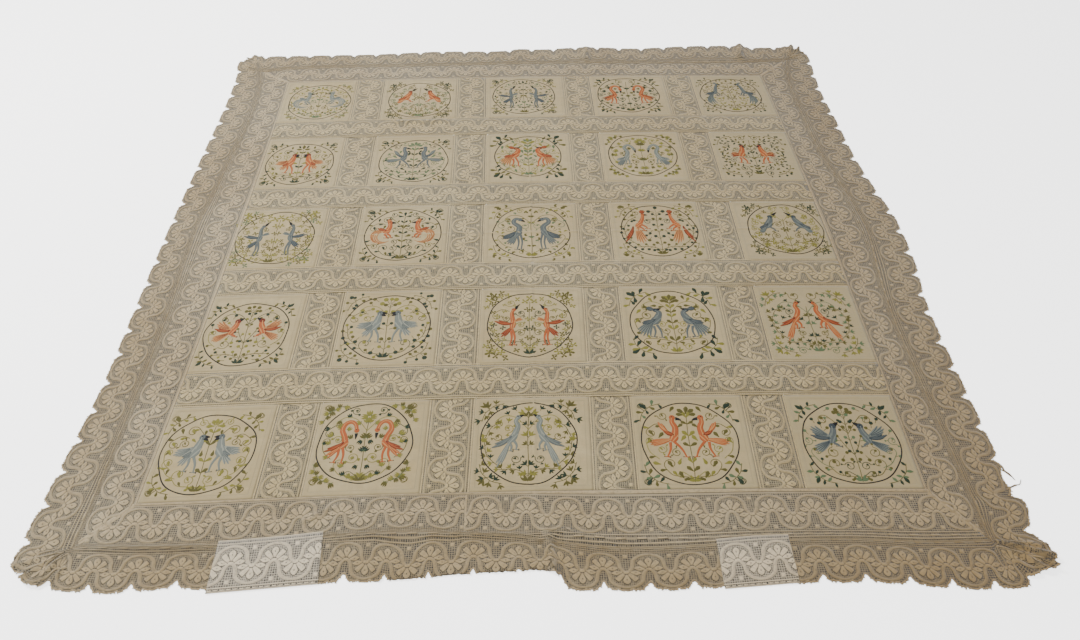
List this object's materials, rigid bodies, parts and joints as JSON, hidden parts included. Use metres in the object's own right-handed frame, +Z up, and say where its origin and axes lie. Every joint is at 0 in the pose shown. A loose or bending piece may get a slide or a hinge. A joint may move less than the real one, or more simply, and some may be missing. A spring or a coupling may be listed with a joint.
{
  "type": "lace bedspread",
  "caption": "Square bedspread of embroidered linen squares joined by strips of lace insertion, with a mitred lace border and a scalloped lace edge, laid out flat.",
  "frame": {"origin": "under the middle of the whole outline, on the surface that the bedspread lies on", "axes": "+Z up, away from the surface; -Y towards the mended front edge; +X to the right seen from the front"},
  "size_m": [2.2546, 2.2648, 0.0212],
  "materials": {
    "linen": "matt plain-woven ecru linen",
    "insertion_lace": "matt ecru cotton lace on a square net",
    "border_lace": "matt ecru cotton lace on a square net",
    "edging_lace": "matt, slightly browned cotton lace with a picot edge",
    "mend_lace": "matt, paler newer cotton lace",
    "embroidery_thread": "soft satin sheen stranded thread in several colours"
  },
  "bodies": {
    "root": {"linen_1_1": "linen", "linen_1_2": "linen", "linen_1_3": "linen", "linen_1_4": "linen", "linen_1_5": "linen", "linen_2_1": "linen", "linen_2_2": "linen", "linen_2_3": "linen", "linen_2_4": "linen", "linen_2_5": "linen", "linen_3_1": "linen", "linen_3_2": "linen", "linen_3_3": "linen", "linen_3_4": "linen", "linen_3_5": "linen", "linen_4_1": "linen", "linen_4_2": "linen", "linen_4_3": "linen", "linen_4_4": "linen", "linen_4_5": "linen", "linen_5_1": "linen", "linen_5_2": "linen", "linen_5_3": "linen", "linen_5_4": "linen", "linen_5_5": "linen", "insertion_upright_1": "insertion_lace", "insertion_cross_1": "insertion_lace", "insertion_upright_2": "insertion_lace", "insertion_cross_2": "insertion_lace", "insertion_upright_3": "insertion_lace", "insertion_cross_3": "insertion_lace", "insertion_upright_4": "insertion_lace", "insertion_cross_4": "insertion_lace", "border_front": "border_lace", "edging_front": "edging_lace", "border_right": "border_lace", "edging_right": "edging_lace", "border_back": "border_lace", "edging_back": "edging_lace", "border_left": "border_lace", "edging_left": "edging_lace", "mend_left": "mend_lace", "mend_right": "mend_lace"}
  },
  "joints": []
}
